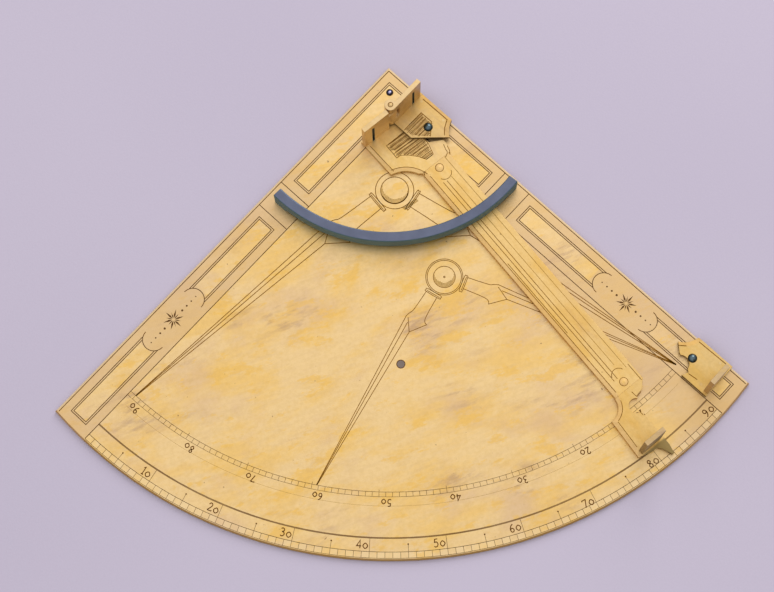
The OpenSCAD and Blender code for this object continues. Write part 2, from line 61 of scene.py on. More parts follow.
# Table of smooth lavender paper, with a faint fibre that shows only close up.
# It carries the shadow, and the world repeats its colour behind it.
class Wire:
    """One output of a material's nodes. Sums and products of wires and numbers add Math nodes."""

    def __init__(self, tree, socket=None):
        self.tree = tree
        self.socket = socket

    def node(self, kind, settings=None, sockets=None, out=0):
        """Adds a node. Its settings are set first, then a value or a wire goes into each socket."""
        made = self.tree.nodes.new(kind)
        for key, value in (settings or {}).items():
            setattr(made, key, value)
        for key, value in (sockets or {}).items():
            if isinstance(value, Wire):
                self.tree.links.new(value.socket, made.inputs[key])
            else:
                made.inputs[key].default_value = value
        return Wire(self.tree, made.outputs[out] if made.outputs else None)

    def math(self, operation, first, second):
        return self.node("ShaderNodeMath", {"operation": operation}, {0: first, 1: second})

    def __add__(self, other):
        return self.math("ADD", self, other)

    def __radd__(self, other):
        return self.math("ADD", other, self)

    def __sub__(self, other):
        return self.math("SUBTRACT", self, other)

    def __rsub__(self, other):
        return self.math("SUBTRACT", other, self)

    def __mul__(self, other):
        return self.math("MULTIPLY", self, other)

    def __rmul__(self, other):
        return self.math("MULTIPLY", other, self)

    def between(self, low, high):
        """Rises smoothly from 0 where this wire is low to 1 where it is high."""
        return self.node(
            "ShaderNodeMapRange",
            {"interpolation_type": "SMOOTHSTEP"},
            {"Value": self, "From Min": low, "From Max": high},
        )

    def blend(self, first, second):
        """The first colour where this wire is 0 and the second where it is 1."""
        colours = {
            6: first if isinstance(first, Wire) else (*first, 1.0),
            7: second if isinstance(second, Wire) else (*second, 1.0),
        }
        return self.node("ShaderNodeMix", {"data_type": "RGBA"}, {0: self, **colours}, out=2)

    def place(self, stretch=1.0, turn=0.0):
        """Object coordinates for a pattern that is drawn out along a direction of the face."""
        spot = self.node("ShaderNodeTexCoord", out="Object")
        return self.node(
            "ShaderNodeMapping",
            {"vector_type": "TEXTURE"},
            {"Vector": spot, "Scale": (stretch, 1, 1), "Rotation": (0, 0, np.radians(turn))},
        )

    def noise(self, spot, scale, detail, roughness=0.5):
        return self.node(
            "ShaderNodeTexNoise",
            None,
            {"Vector": spot, "Scale": scale, "Detail": detail, "Roughness": roughness},
        )


def start_material(name):
    """Empty material and the first wire of its tree."""
    made = bpy.data.materials.new(name)
    made.use_nodes = True
    made.node_tree.nodes.clear()
    return made, Wire(made.node_tree)


def close_material(surface):
    """Leads a surface to the material's output."""
    surface.node("ShaderNodeOutputMaterial", None, {"Surface": surface})


lavender = (0.585, 0.520, 0.640)
paper, wire = start_material("lavender_paper")
fibre = wire.noise(wire.place(), 900.0, 4.0)
cloud = wire.noise(wire.place(), 2.2, 2.0)
tone = (0.7 * cloud + 0.3 * fibre).between(0.3, 0.7)
bumped = wire.node("ShaderNodeBump", None, {"Strength": 0.2, "Distance": 0.0002, "Height": fibre})
close_material(
    wire.node(
        "ShaderNodeBsdfPrincipled",
        None,
        {
            "Base Color": tone.blend((0.580, 0.516, 0.630), (0.628, 0.560, 0.673)),
            "Roughness": 0.9,
            "Specular IOR Level": 0.1,
            "Normal": bumped,
        },
    )
)
table_half = 4.0
table_top = -0.0002
table_mesh = bpy.data.meshes.new("table")
square = [(-1, -1), (1, -1), (1, 1), (-1, 1)]
table_corners = [(table_half * x, table_half * y, table_top) for x, y in square]
table_mesh.from_pydata(table_corners, [], [(0, 1, 2, 3)])
table_mesh.materials.append(paper)
table = bpy.data.objects.new("table", table_mesh)
scene.collection.objects.link(table)

# One soft window behind the object, to the right, and a sky that is dark low down and dims there.
# The brass mirrors the sky towards the camera, and its edges and domes catch the window.
window_radiance = 2.8
window_side = 1.3
window_far = 2.0
window_from = np.array([0.50, 0.95, 0.75])
window_at = window_from / np.linalg.norm(window_from) * window_far
window_data = bpy.data.lights.new("window", "AREA")
window_data.shape = "SQUARE"
window_data.size = window_side
window_data.energy = window_radiance * np.pi * window_side**2
window = bpy.data.objects.new("window", window_data)
window.location = window_at
window.rotation_euler = (
    np.arctan2(np.hypot(window_at[0], window_at[1]), window_at[2]),
    0,
    np.arctan2(window_at[1], window_at[0]) + np.pi / 2,
)
scene.collection.objects.link(window)

world = bpy.data.worlds.new("sky")
world.use_nodes = True
world.node_tree.nodes.clear()
wire = Wire(world.node_tree)
heading = wire.node("ShaderNodeTexCoord", out="Generated")
up = wire.node("ShaderNodeSeparateXYZ", None, {0: heading}, out="Z").between(-0.05, 0.9)
rightward = wire.node("ShaderNodeSeparateXYZ", None, {0: heading}, out="X").between(-0.05, 0.35)
seen = wire.node("ShaderNodeLightPath", out="Is Camera Ray")
sky = up.blend((0.15, 0.15, 0.16), rightward.blend((0.98, 0.98, 1.0), (0.82, 0.82, 0.84)))
glow = wire.node("ShaderNodeBackground", None, {"Color": seen.blend(sky, lavender)})
wire.node("ShaderNodeOutputWorld", None, {"Surface": glow})
scene.world = world

# Quadrant plate, a sector of gilt brass sheet whose scales, frames and stars are cut in the solid.
# The gilding is rubbed in large warm patches, and the cuts are filled with dark brown wax.
mm = 0.001
face_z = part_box("quadrant_plate")[1].z
post_low, post_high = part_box("pivot_post")
pivot = np.array([(post_low.x + post_high.x) / 2, (post_low.y + post_high.y) / 2])

pale_gold = (0.905, 0.640, 0.305)
deep_gold = (0.905, 0.592, 0.205)
amber = (0.90, 0.540, 0.115)
rose_gold = (0.74, 0.500, 0.305)
matt_gold = (0.75, 0.505, 0.260)
brown_stain = (0.40, 0.255, 0.190)
pit_brown = (0.20, 0.105, 0.060)
wax_brown = (0.125, 0.045, 0.004)
# The next cream is wear and painted highlight on sloping faces; it also lightens alternate degree
# cells.
cream_wear_and_highlight = (0.93, 0.73, 0.43)
# The next cream is painted highlight, for the plate's straight edges.
highlight_cream = (0.98, 0.85, 0.58)
# The next olive is painted shade, for upright faces and for the foot beyond the lower vane.
shade_olive = (0.13, 0.11, 0.05)
# The next teal is painted shade inside the vanes' slits.
slit_shade_teal = (0.02, 0.04, 0.04)
# The next brown is painted shade, for the steep faces of the curved rim.
rim_shade_brown = (0.50, 0.285, 0.085)

frame_inner, frame_outer = -6.9 * mm, -17.3 * mm
frames_along = [(-17.3, 68.1), (102.7, 160.0), (209.5, 267.0)]
cells_from, cells_to = 271.2 * mm, 275.0 * mm
rest = 82.1


def from_pivot(wire, reading):
    """Distances of a spot from the pivot along and across a reading of the outer scale."""
    spot = wire.node("ShaderNodeTexCoord", out="Object")
    east, north = (wire.node("ShaderNodeSeparateXYZ", None, {0: spot}, out=axis) for axis in "XY")
    east, north = east - float(pivot[0]), north - float(pivot[1])
    turn = np.radians(225 + reading)
    along = east * float(np.cos(turn)) + north * float(np.sin(turn))
    across = north * float(np.cos(turn)) - east * float(np.sin(turn))
    return along, across


def unburnished(wire):
    """1 where the gilding was left matt: the borders outside their frames, and the field beyond the
    arm. Of the distances along zero and along ninety, the smaller says how far out in a border a
    spot is, and the larger how far along."""
    along_zero, along_ninety = from_pivot(wire, 0)
    out = wire.math("MINIMUM", along_zero, along_ninety)
    far = wire.math("MAXIMUM", along_zero, along_ninety)
    edge = 0.4 * mm
    bright = out.between(frame_outer - edge, frame_outer + edge)
    bright = bright * (1.0 - out.between(frame_inner - edge, frame_inner + edge))
    spans = 0.0
    for low, high in frames_along:
        low, high = low * mm, high * mm
        ended = far.between(high - edge, high + edge)
        spans = far.between(low - edge, low + edge) * (1.0 - ended) + spans
    border = 1.0 - out.between(-edge, edge)
    beyond = from_pivot(wire, rest)[1]
    field = (1.0 - border) * beyond.between(0.0, 20 * mm)
    return border * (1.0 - bright * spans) + field


def gilt(
    name,
    pale,
    deep,
    rose,
    stain_strength,
    grain_turn,
    waxed=False,
    upright_shade=0.0,
    slit=None,
    shade_beyond=None,
    rubbing=0.2,
    paling=0.25,
):
    """Gilt brass: patches of three golds, drawn-out stains, a fine grain and small pits. Rubbing is
    how far rubbed patches turn amber, and the number after it how far the slopes turn cream, partly
    wear and partly painted highlight. Waxed brass has dark cuts just below its face, painted
    highlight in pale cream on its straight edges and painted shade in brown on its rim. A number
    for the upright faces darkens them as painted shade, a slit, given as a reading and a side, is
    painted dark inside as painted shade, and a reading with a distance paints shade beyond that
    distance along the reading."""
    made, wire = start_material(name)
    plain = wire.place()
    patches = wire.noise(wire.place(2.4, grain_turn), 50.0, 6.0, 0.65).between(0.42, 0.62)
    warm = wire.noise(wire.place(1.5, grain_turn), 27.0, 5.0, 0.6).between(0.48, 0.70)
    rubbed = wire.noise(wire.place(2.3, grain_turn - 4), 95.0, 8.0, 0.7).between(0.54, 0.61)
    mottle = wire.noise(plain, 480.0, 4.0, 0.65)
    brushed = wire.noise(wire.place(7.0, grain_turn), 420.0, 4.0, 0.6).between(0.42, 0.68)
    clouds = wire.noise(wire.place(2.2, grain_turn), 30.0, 3.0, 0.55).between(0.50, 0.68)
    streaks = wire.noise(wire.place(3.5, grain_turn + 4), 210.0, 6.0, 0.65).between(0.47, 0.68)
    streaks = streaks * clouds
    scratches = wire.noise(wire.place(30.0, grain_turn + 27), 1500.0, 3.0, 0.6)
    pits = wire.noise(plain, 330.0, 2.0, 0.4).between(0.74, 0.79)
    colour = patches.blend(pale, deep)
    colour = (0.6 * warm).blend(colour, rose)
    colour = (rubbing * rubbed).blend(colour, amber)
    colour = (0.15 * clouds).blend(colour, rose)
    colour = (0.11 * brushed).blend(colour, tuple(0.75 * c for c in rose))
    colour = (stain_strength * streaks).blend(colour, brown_stain)
    colour = (0.24 * mottle.between(0.35, 0.7)).blend(colour, tuple(0.72 * c for c in deep))
    colour = (0.6 * pits).blend(colour, pit_brown)
    rough = 0.32 + 0.10 * mottle + 0.10 * streaks
    metal = 1.0 - 0.25 * streaks
    spot = wire.node("ShaderNodeTexCoord", out="Object")
    height = wire.node("ShaderNodeSeparateXYZ", None, {0: spot}, out="Z")
    facing = wire.node("ShaderNodeNewGeometry", out="Normal")
    upward = wire.node("ShaderNodeSeparateXYZ", None, {0: facing}, out="Z")
    sloping = upward.between(0.2, 0.4) * (1.0 - upward.between(0.99, 0.998))
    steep = sloping * (1.0 - upward.between(0.8, 0.9))
    # Sloping faces turn cream, partly wear of the gilding and partly painted highlight.
    colour = (paling * sloping).blend(colour, cream_wear_and_highlight)
    rough = rough + 0.3 * sloping
    # Painted shade: upright faces darken towards olive by how far their normal leans.
    if upright_shade:
        upright = upright_shade * (1.0 - upward.between(0.2, 0.6))
        colour = (upright * (0.7 + 0.6 * mottle)).blend(colour, shade_olive)
        rough = rough + 0.2 * upright
    # Painted shade: inside a vane's slit the colour turns near black teal and the brass stops being
    # metallic.
    if slit:
        slit_reading, slit_side = slit
        along, across = from_pivot(wire, slit_reading)
        off_middle = wire.math("ABSOLUTE", across - slit_side * slit_across, 0.0)
        inside = 1.0 - off_middle.between(0.85 * mm, 1.1 * mm)
        inside = inside * (1.0 - height.between(slit_ceiling, slit_ceiling + 0.3 * mm))
        inside = inside * (1.0 - along.between(slit_reach, 2 * slit_reach))
        colour = inside.blend(colour, slit_shade_teal)
        metal = metal * (1.0 - inside)
    # Painted shadow: beyond a distance along a reading, here the foot beyond the lower vane, the
    # brass turns dark olive for the vane's shadow.
    if shade_beyond:
        shade_reading, shade_from = shade_beyond
        along = from_pivot(wire, shade_reading)[0]
        beyond_vane = along.between(shade_from * mm, (shade_from + 1.5) * mm)
        colour = (0.7 * beyond_vane).blend(colour, shade_olive)
    if waxed:
        along_zero, along_ninety = from_pivot(wire, 0)
        away = wire.math("POWER", along_zero * along_zero + along_ninety * along_ninety, 0.5)
        rim = away.between(cells_to, cells_to + 0.5 * mm)
        # Painted highlight: the steep straight edges of the plate turn pale cream and less
        # metallic.
        straight = steep * (1.0 - rim)
        colour = (0.85 * straight).blend(colour, highlight_cream)
        # Painted shade: the steep faces of the curved rim turn brown.
        colour = (0.8 * steep * rim).blend(colour, rim_shade_brown)
        metal = metal * (1.0 - 0.9 * straight)
        deep_cut, shallow_cut = face_z - 0.16 * mm, face_z - 0.02 * mm
        below_cuts = face_z - 0.30 * mm
        cut = (1.0 - height.between(deep_cut, shallow_cut)) * height.between(
            below_cuts, below_cuts + 0.03 * mm
        )
        lost = wire.noise(plain, 22.0, 3.0, 0.5).between(0.42, 0.62)
        filled = cut * (1.0 - sloping) * (1.0 - 0.12 * lost)
        dull = unburnished(wire)
        colour = (0.55 * dull).blend(colour, matt_gold)
        colour = (0.06 * dull).blend(colour, brown_stain)
        reading = wire.math("ARCTAN2", along_ninety, along_zero) * (180 / np.pi)
        band = away.between(cells_from, cells_from + 0.1 * mm)
        band = band * (1.0 - away.between(cells_to, cells_to + 0.1 * mm))
        band = band * wire.math("MINIMUM", along_zero, along_ninety).between(0.0, 0.2 * mm)
        odd = wire.math("FLOORED_MODULO", reading, 2.0).between(0.98, 1.02)
        colour = (band * (0.12 + 0.4 * odd * mottle)).blend(colour, cream_wear_and_highlight)
        colour = filled.blend(colour, wax_brown)
        rough = rough + 0.35 * filled
        metal = metal * (1.0 - 0.9 * filled)
    waves = wire.noise(plain, 30.0, 2.0, 0.4)
    relief = waves * 0.5 + 0.05 * scratches + 0.04 * mottle
    bumped = wire.node(
        "ShaderNodeBump", None, {"Strength": 0.35, "Distance": 0.0006, "Height": relief}
    )
    close_material(
        wire.node(
            "ShaderNodeBsdfPrincipled",
            None,
            {
                "Base Color": colour,
                "Metallic": metal,
                "Roughness": rough,
                "Specular IOR Level": 0.15,
                "Normal": bumped,
            },
        )
    )
    return made


def finish_node(name, material):
    """Gives a CAD node its material and leaves its shape alone."""
    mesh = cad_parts[name].data
    mesh.materials.clear()
    mesh.materials.append(material)
    mesh.polygons.foreach_set("material_index", np.zeros(len(mesh.polygons), dtype=np.int32))


plate_golds = pale_gold, deep_gold, rose_gold
plate_gilt = gilt(
    "gilt_plate", *plate_golds, 0.55, 18, waxed=True, upright_shade=0.6, rubbing=0.65, paling=0.4
)
finish_node("quadrant_plate", plate_gilt)

# Numbers and faint circle of the two scales, cut by hand with a pointed tool and waxed.
# Each cut is a closed strip of wax that stands a hair above the brass.
cut_w = 0.45
wax_proud = 0.02
wax_sunk = 0.06


def on_reading(reading, points, z):
    """Points across the face, in millimetres along and across a reading of the outer scale, become
    metres of the model: they turn by 225 degrees plus the reading about the pivot."""
    turn = np.radians(225 + reading)
    along, across = np.asarray(points, dtype=float).T * mm
    x = pivot[0] + np.cos(turn) * along - np.sin(turn) * across
    y = pivot[1] + np.sin(turn) * along + np.cos(turn) * across
    return np.column_stack([x, y, np.full(len(x), z)])


def strip(points, width):
    """Closed strip of wax along a row of points at one height. At each point the two sides stand
    off by half the width, square to the mean of the two steps that meet there, over the cosine of
    half their turn. A row that ends where it starts is joined into a ring."""
    points = np.asarray(points)
    ring = np.allclose(points[0], points[-1], atol=1e-7)
    step = np.diff(points[:, :2], axis=0)
    step /= np.linalg.norm(step, axis=1)[:, None]
    before = np.vstack([step[-1:] if ring else step[:1], step])
    after = np.vstack([step, step[:1] if ring else step[-1:]])
    mean = before + after
    mean /= np.maximum(np.linalg.norm(mean, axis=1), 1e-6)[:, None]
    cosine = np.maximum(np.sum(mean * after, axis=1), 0.45)
    side = np.column_stack([-mean[:, 1], mean[:, 0]]) * (width * mm / 2 / cosine)[:, None]
    rows = len(points) - 1 if ring else len(points)
    left = points[:rows, :2] + side[:rows]
    right = points[:rows, :2] - side[:rows]
    heights = points[0, 2] + mm * np.array([wax_proud, wax_proud, -wax_sunk, -wax_sunk])
    corners = np.stack([left, right, right, left], axis=1)
    flat = np.broadcast_to(heights[None, :, None], (rows, 4, 1))
    vertices = np.concatenate([corners, flat], axis=2).reshape(-1, 3)
    here = np.arange(rows if ring else rows - 1)[:, None] * 4
    there = (here + 4) % (rows * 4)
    corner = np.arange(4)[None, :]
    following = (corner + 1) % 4
    quads = np.stack([here + corner, here + following, there + following, there + corner], axis=2)
    faces = quads.reshape(-1, 4)
    if not ring:
        last = (rows - 1) * 4
        caps = np.array([[3, 2, 1, 0], [last, last + 1, last + 2, last + 3]])
        faces = np.vstack([faces, caps])
    return vertices, faces


def cuts(name, body, strokes, material, width=cut_w):
    """One piece of many waxed strips, which rides on a body."""
    vertices, faces, count = [], [], 0
    for points in strokes:
        more, quads = strip(points, width)
        vertices.append(more)
        faces.append(quads + count)
        count += len(more)
    mesh = bpy.data.meshes.new(name)
    mesh.from_pydata(np.vstack(vertices).tolist(), [], np.vstack(faces).tolist())
    mesh.materials.append(material)
    made = bpy.data.objects.new(name, mesh)
    scene.collection.objects.link(made)
    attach(made, body)


def smooth(points, closed=False, steps=6):
    """Smooth line through points. Between two of them it is a cubic whose slope at each is half the
    way from the point before to the point after."""
    points = np.asarray(points, dtype=float)
    if closed:
        ends = np.vstack([points[-1:], points, points[:2]])
    else:
        ends = np.vstack([points[:1], points, points[-1:]])
    a, b, c, d = (ends[i : len(ends) - 3 + i, None] for i in range(4))
    t = np.linspace(0, 1, steps, endpoint=False)[None, :, None]
    squared = a - 2.5 * b + 2 * c - d / 2
    cubed = 1.5 * (b - c) + (d - a) / 2
    line = (b + t * (c - a) / 2 + t**2 * squared + t**3 * cubed).reshape(-1, 2)
    return np.vstack([line, line[:1] if closed else points[-1:]])


def arc(centre, radius, start, end):
    """Circular line about a centre between two angles in degrees, a point about every 0.6 mm."""
    count = max(8, int(abs(np.radians(end - start)) * radius / 0.6) + 2)
    turn = np.radians(np.linspace(start, end, count))
    return np.column_stack([centre[0] + radius * np.cos(turn), centre[1] + radius * np.sin(turn)])


def wax(name, colour):
    """Old brown wax with dust in it, a little uneven in depth and shine."""
    made, wire = start_material(name)
    paling = wire.noise(wire.place(), 420.0, 3.0, 0.6).between(0.35, 0.75)
    close_material(
        wire.node(
            "ShaderNodeBsdfPrincipled",
            None,
            {
                "Base Color": paling.blend(colour, tuple(1.6 * c for c in colour)),
                "Roughness": 0.55 + 0.25 * paling,
                "Specular IOR Level": 0.0,
            },
        )
    )
    return made


dark_wax = wax("dark_wax", wax_brown)
line_wax = wax("line_wax", (0.21, 0.090, 0.009))

digit_strokes = {
    "0": [smooth([(0.33, 0.0), (0.62, 0.33), (0.33, 0.66), (0.04, 0.33)], closed=True)],
    "1": [[(0.02, 0.80), (0.20, 0.98), (0.20, 0.0)], [(0.04, 0.0), (0.36, 0.0)]],
    "2": [
        smooth(
            [(0.06, 0.76), (0.20, 0.97), (0.42, 0.92), (0.47, 0.70), (0.28, 0.36), (0.03, 0.03)]
        ),
        [(0.03, 0.03), (0.54, 0.03), (0.58, 0.14)],
    ],
    "3": [
        smooth([(0.05, 0.88), (0.25, 1.0), (0.44, 0.86), (0.40, 0.64), (0.20, 0.55)]),
        smooth([(0.20, 0.55), (0.46, 0.45), (0.50, 0.18), (0.28, 0.0), (0.04, 0.08)]),
    ],
    "4": [[(0.44, 0.0), (0.44, 1.0), (0.02, 0.30), (0.60, 0.30)]],
    "5": [
        [(0.50, 0.98), (0.16, 0.96), (0.10, 0.55)],
        smooth([(0.10, 0.55), (0.34, 0.61), (0.50, 0.38), (0.42, 0.09), (0.20, 0.0), (0.03, 0.10)]),
    ],
    "6": [
        smooth(
            [
                *[(0.50, 0.98), (0.24, 0.78), (0.07, 0.36), (0.20, 0.04)],
                *[(0.42, 0.06), (0.50, 0.30), (0.32, 0.50), (0.10, 0.36)],
            ]
        )
    ],
    "7": [[(0.03, 0.84), (0.08, 0.97), (0.54, 0.97), (0.20, 0.0)]],
    "8": [
        smooth(
            [
                *[(0.28, 0.54), (0.47, 0.76), (0.28, 0.99), (0.09, 0.76)],
                *[(0.28, 0.54), (0.50, 0.26), (0.28, 0.0), (0.06, 0.26)],
            ],
            closed=True,
        )
    ],
}
digit_strokes["9"] = [[(0.56 - x, 1.0 - y) for x, y in digit_strokes["6"][0]]]
digit_pitch = {"1": 0.5}
usual_pitch = 0.76


def number(text, height, up):
    """Strokes of a number about its own middle, as points along and across a reading. Where up is
    -1 the number's top points at the pivot, and where it is 1 it points away."""
    pitches = [digit_pitch.get(c, usual_pitch) for c in text]
    strokes = []
    for start, c in zip(np.cumsum([0.0, *pitches]), text):
        for stroke in digit_strokes[c]:
            centred = np.asarray(stroke, dtype=float) + [start - sum(pitches) / 2, -0.5]
            x, y = centred.T * height
            strokes.append(np.column_stack([up * y, -up * x]))
    return strokes


outer_numbers_at = 267.0
outer_number_h = 4.9
outer_before = 4.2
inner_numbers_at = 241.4
inner_number_h = 4.3
inner_after = 4.4
set_lower = {10: 0.5, 70: 2.0, 80: 1.6, 90: 0.8}
set_aside = {10: -1.3}
number_strokes = []
for ten in range(10, 100, 10):
    for stroke in number(str(ten), outer_number_h, -1):
        place = stroke + [outer_numbers_at + set_lower.get(ten, 0.0), -outer_before]
        number_strokes.append(on_reading(ten, place, face_z))
    for stroke in number(str(ten), inner_number_h, 1):
        place = stroke + [inner_numbers_at, inner_after + set_aside.get(ten, 0.0)]
        number_strokes.append(on_reading(91 - ten, place, face_z))
cuts("scale_numbers", "quadrant", number_strokes, dark_wax, width=0.62)

dot_r = 0.5
fives_at = 266.6
faint_circle_r = 243.4
dot = arc((fives_at, 0), dot_r / 2, 0, 360)
marks = [on_reading(five, dot, face_z) for five in range(5, 90, 10)]
cuts("scale_dots", "quadrant", marks, dark_wax, width=dot_r)
faint = on_reading(0, arc((0, 0), faint_circle_r, 1, 89), face_z)

# Tips of the frames beside the stars, where each round bite runs on past the lines that it cuts.
bite_r = 7.15
bite_places = [
    (0, -12.0, 167.65, 1),
    (0, -12.0, 202.05, -1),
    (90, 12.0, 168.45, 1),
    (90, 12.0, 202.85, -1),
]
tips = []
for reading, across, along, side in bite_places:
    for hand in (1, -1):
        tip = arc((0, 0), bite_r, hand * 114, hand * 90) * [side, 1] + [along, across]
        tips.append(on_reading(reading, tip, face_z))
cuts("frame_tips", "quadrant", tips, dark_wax, width=0.5)

# Two pairs of dividers drawn on the plate, a small one that spans sixty degrees of the inner scale
# and a big one, both cut in line with the same pointed tool. Their shading and the faint circle
# of the inner scale are shallower cuts with paler wax.
leg_outer = [(14.5, -4.9), (27.0, -5.6), (30.3, -6.7), (33.0, -7.6)]
leg_inner = [(14.5, 2.7), (26.3, 3.1), (30.6, 4.1), (31.7, 6.1), (41.1, -0.8)]
leg_facet = [(33.4, -6.2), (41.1, -0.8)]
leg_mid = (36.3, -4.8)


def divider(centre, radii, tips, size, collar):
    """Outlines of a pair of dividers seen flat: rings for the head and two legs that are each
    other's mirror, each drawn along the line from the head's centre to its tip."""
    centre = np.asarray(centre, dtype=float)
    strokes = [arc(centre, radius, 0, 360) for radius in radii]
    for hand, tip in zip((1, -1), tips):
        run = np.asarray(tip) - centre
        reach = np.linalg.norm(run)
        u = run / reach
        v = np.array([-u[1], u[0]]) * hand

        def leg(points):
            local = np.asarray(points, dtype=float)
            return centre + local[:, :1] * u + local[:, 1:] * v

        outer = np.array(leg_outer) * size
        inner = np.array(leg_inner) * size
        outer[0, 0] = inner[0, 0] = radii[0] + 2.1
        strokes.append(leg([*smooth(outer, steps=4), (reach, -0.4)]))
        strokes.append(leg([*smooth(inner[:-1], steps=4), inner[-1], (reach, 0)]))
        strokes.append(leg(np.array(leg_facet) * size))
        strokes.append(leg([np.array(leg_mid) * size, (reach, -0.2)]))
        low, high = collar
        at = radii[0] + 1.1
        bar = [
            *[(at - 1, low + 0.5), (at, low), (at + 1, low + 0.5)],
            *[(at + 1, high - 0.5), (at, high), (at - 1, high - 0.5)],
        ]
        strokes.append(leg(smooth(bar, closed=True, steps=4)))
        strokes.append(leg([(at + 0.2, low + 0.6), (at + 0.2, high - 0.6)]))
    return [on_reading(0, stroke, face_z) for stroke in strokes]


def ball_shade(centre, radius, start, end):
    """Fine arcs inside a ring, each shorter than the one outside it, which round it like a ball."""
    strokes = []
    for step in range(5):
        trim = 14 * step
        strokes.append(arc(centre, radius - 0.55 * (step + 1), start + trim, end - trim))
    return [on_reading(0, stroke, face_z) for stroke in strokes]


left_foot = (-3.7, 234.8)
small_head, small_ball = (51.6, 92.8), 6.8
big_head, big_ball = (31.5, 32.3), 8.7
small_rings = (11.5, 10.6, small_ball, 0.5)
small = divider(small_head, small_rings, [(199.7, 123.6), left_foot], 1.0, (-5.6, 4.8))
big = divider(big_head, (12.0, big_ball), [(234.9, 4.5), left_foot], 1.35, (-7.7, 5.8))
cuts("small_dividers", "quadrant", small, line_wax, width=0.44)
cuts("big_dividers", "quadrant", big, line_wax, width=0.5)
shade = ball_shade(small_head, small_ball, -60, 150) + ball_shade(big_head, big_ball, -70, 130)
for step in range(5):
    line = [(26.4, 45.8 + 0.5 * step), (36.6, 43.6 + 0.5 * step)]
    shade.append(on_reading(0, line, face_z))
pale_wax = wax("pale_wax", (0.34, 0.185, 0.035))
cuts("divider_shading", "quadrant", shade, pale_wax, width=0.32)
cuts("faint_circle", "quadrant", [faint], pale_wax, width=0.14)
thick = [on_reading(0, arc(big_head, big_ball - 0.2, -20, 120), face_z)]
cuts("divider_ring", "quadrant", thick, dark_wax, width=0.5)

# Steel bow, an arc of blued steel on two feet that stands over the arm.
# Its polished top is deep blue, its sides are painted a darker teal as painted shade, and the edges
# are worn bright.


def softened(node, body, material, width=0.25):
    """Copy of a CAD node with its doubles merged, its flat faces joined and its sharp edges rounded
    by a small bevel. It stands for the node and rides where the node does."""
    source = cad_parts[node]
    work = bmesh.new()
    work.from_mesh(source.data)
    bmesh.ops.remove_doubles(work, verts=work.verts, dist=2e-6)
    bmesh.ops.dissolve_limit(work, angle_limit=np.radians(0.4), verts=work.verts, edges=work.edges)
    for face in work.faces:
        face.smooth = True
    mesh = bpy.data.meshes.new(node + "_soft")
    work.to_mesh(mesh)
    work.free()
    mesh.set_sharp_from_angle(angle=np.radians(11))
    mesh.materials.append(material)
    made = bpy.data.objects.new(node + "_soft", mesh)
    scene.collection.objects.link(made)
    bevel = made.modifiers.new("edges", "BEVEL")
    bevel.width = width * mm
    bevel.segments = 2
    bevel.limit_method = "ANGLE"
    bevel.angle_limit = np.radians(28)
    bevel.harden_normals = True
    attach(made, body)
    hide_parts(node)


def blued(name, top, side, roughness, turn_off=(0.5, 0.95), side_metal=1.0):
    """Blued steel: an uneven blue film with a fine grain, darker where the face leans over. The
    height of its normal there is the first number of turn_off, and the second where it lies flat.
    The darker side colour is painted shade, for the dark surroundings that leaning faces reflect."""
    made, wire = start_material(name)
    plain = wire.place()
    film = wire.noise(plain, 60.0, 4.0, 0.55).between(0.3, 0.7)
    grain = wire.noise(plain, 1300.0, 3.0, 0.6)
    facing = wire.node("ShaderNodeNewGeometry", out="Normal")
    upward = wire.node("ShaderNodeSeparateXYZ", None, {0: facing}, out="Z").between(*turn_off)
    face = film.blend(top, tuple(0.8 * c for c in top))
    colour = upward.blend(film.blend(side, tuple(1.3 * c for c in side)), face)
    bumped = wire.node(
        "ShaderNodeBump", None, {"Strength": 0.2, "Distance": 0.0003, "Height": grain}
    )
    close_material(
        wire.node(
            "ShaderNodeBsdfPrincipled",
            None,
            {
                "Base Color": colour,
                "Metallic": side_metal + (1.0 - side_metal) * upward,
                "Roughness": roughness + 0.12 * grain + 0.2 * (1.0 - upward),
                "Specular IOR Level": 0.2,
                "Normal": bumped,
            },
        )
    )
    return made


# The bow's sides are painted a darker teal and made less metallic, as painted shade.
bow_blue = blued("blued_bow", (0.160, 0.178, 0.252), (0.075, 0.150, 0.170), 0.30, (0.6, 0.99), 0.3)
softened("steel_bow", "quadrant", bow_blue, 0.3)
finish_node("bow_screws", bow_blue)

# Turned pins and rivets: the pivot post, the centre rivet, the steady pins and the apex pin.
# The brass ones are hammered tight in their holes and filed bright. The centre rivet and the apex
# pin are steel.
pin_gilt = gilt("gilt_pins", (0.80, 0.58, 0.28), (0.74, 0.48, 0.17), rose_gold, 0.3, 40)
for name in ("pivot_post", "upper_steady_pins", "lower_steady_pins"):
    finish_node(name, pin_gilt)
# Painted reflection: the apex pin's top is painted pale lavender for the sky it mirrors, and its
# leaning sides near black as painted shade.
apex_steel = blued("apex_steel", (0.50, 0.47, 0.68), (0.035, 0.035, 0.055), 0.12, (0.94, 0.99))
finish_node("apex_pin", apex_steel)
# The rivet's dome turns darker where it leans over, as painted shade.
rivet_steel = blued("rivet_steel", (0.26, 0.205, 0.175), (0.06, 0.04, 0.03), 0.35)
softened("centre_rivet", "quadrant", rivet_steel, 0.3)
vane_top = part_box("upper_sight_vane")[1].z
rings = [
    on_reading(0, arc((-13.6, -13.6), 2.1, 0, 360), face_z),
    on_reading(45, arc((156, 0), 2.6, 0, 360), face_z),
    on_reading(0, arc((0, 0), 1.5, 0, 360), vane_top),
]
cuts("pin_rings", "quadrant", rings, dark_wax, width=0.4)

# Upper fixed sight: a raised plate on a riser and a collar, with a slit vane and a blued stud.
# Its near end is bevelled and hatched, and the vane turns on the pivot post like a hinge.
slit_across = 16.8 * mm
slit_ceiling = face_z + 28 * mm
slit_reach = 30 * mm
sight_golds = (0.81, 0.555, 0.225), (0.76, 0.475, 0.135), (0.70, 0.46, 0.20)
upper_vane_golds = (0.85, 0.61, 0.31), (0.79, 0.54, 0.24), (0.77, 0.53, 0.28)
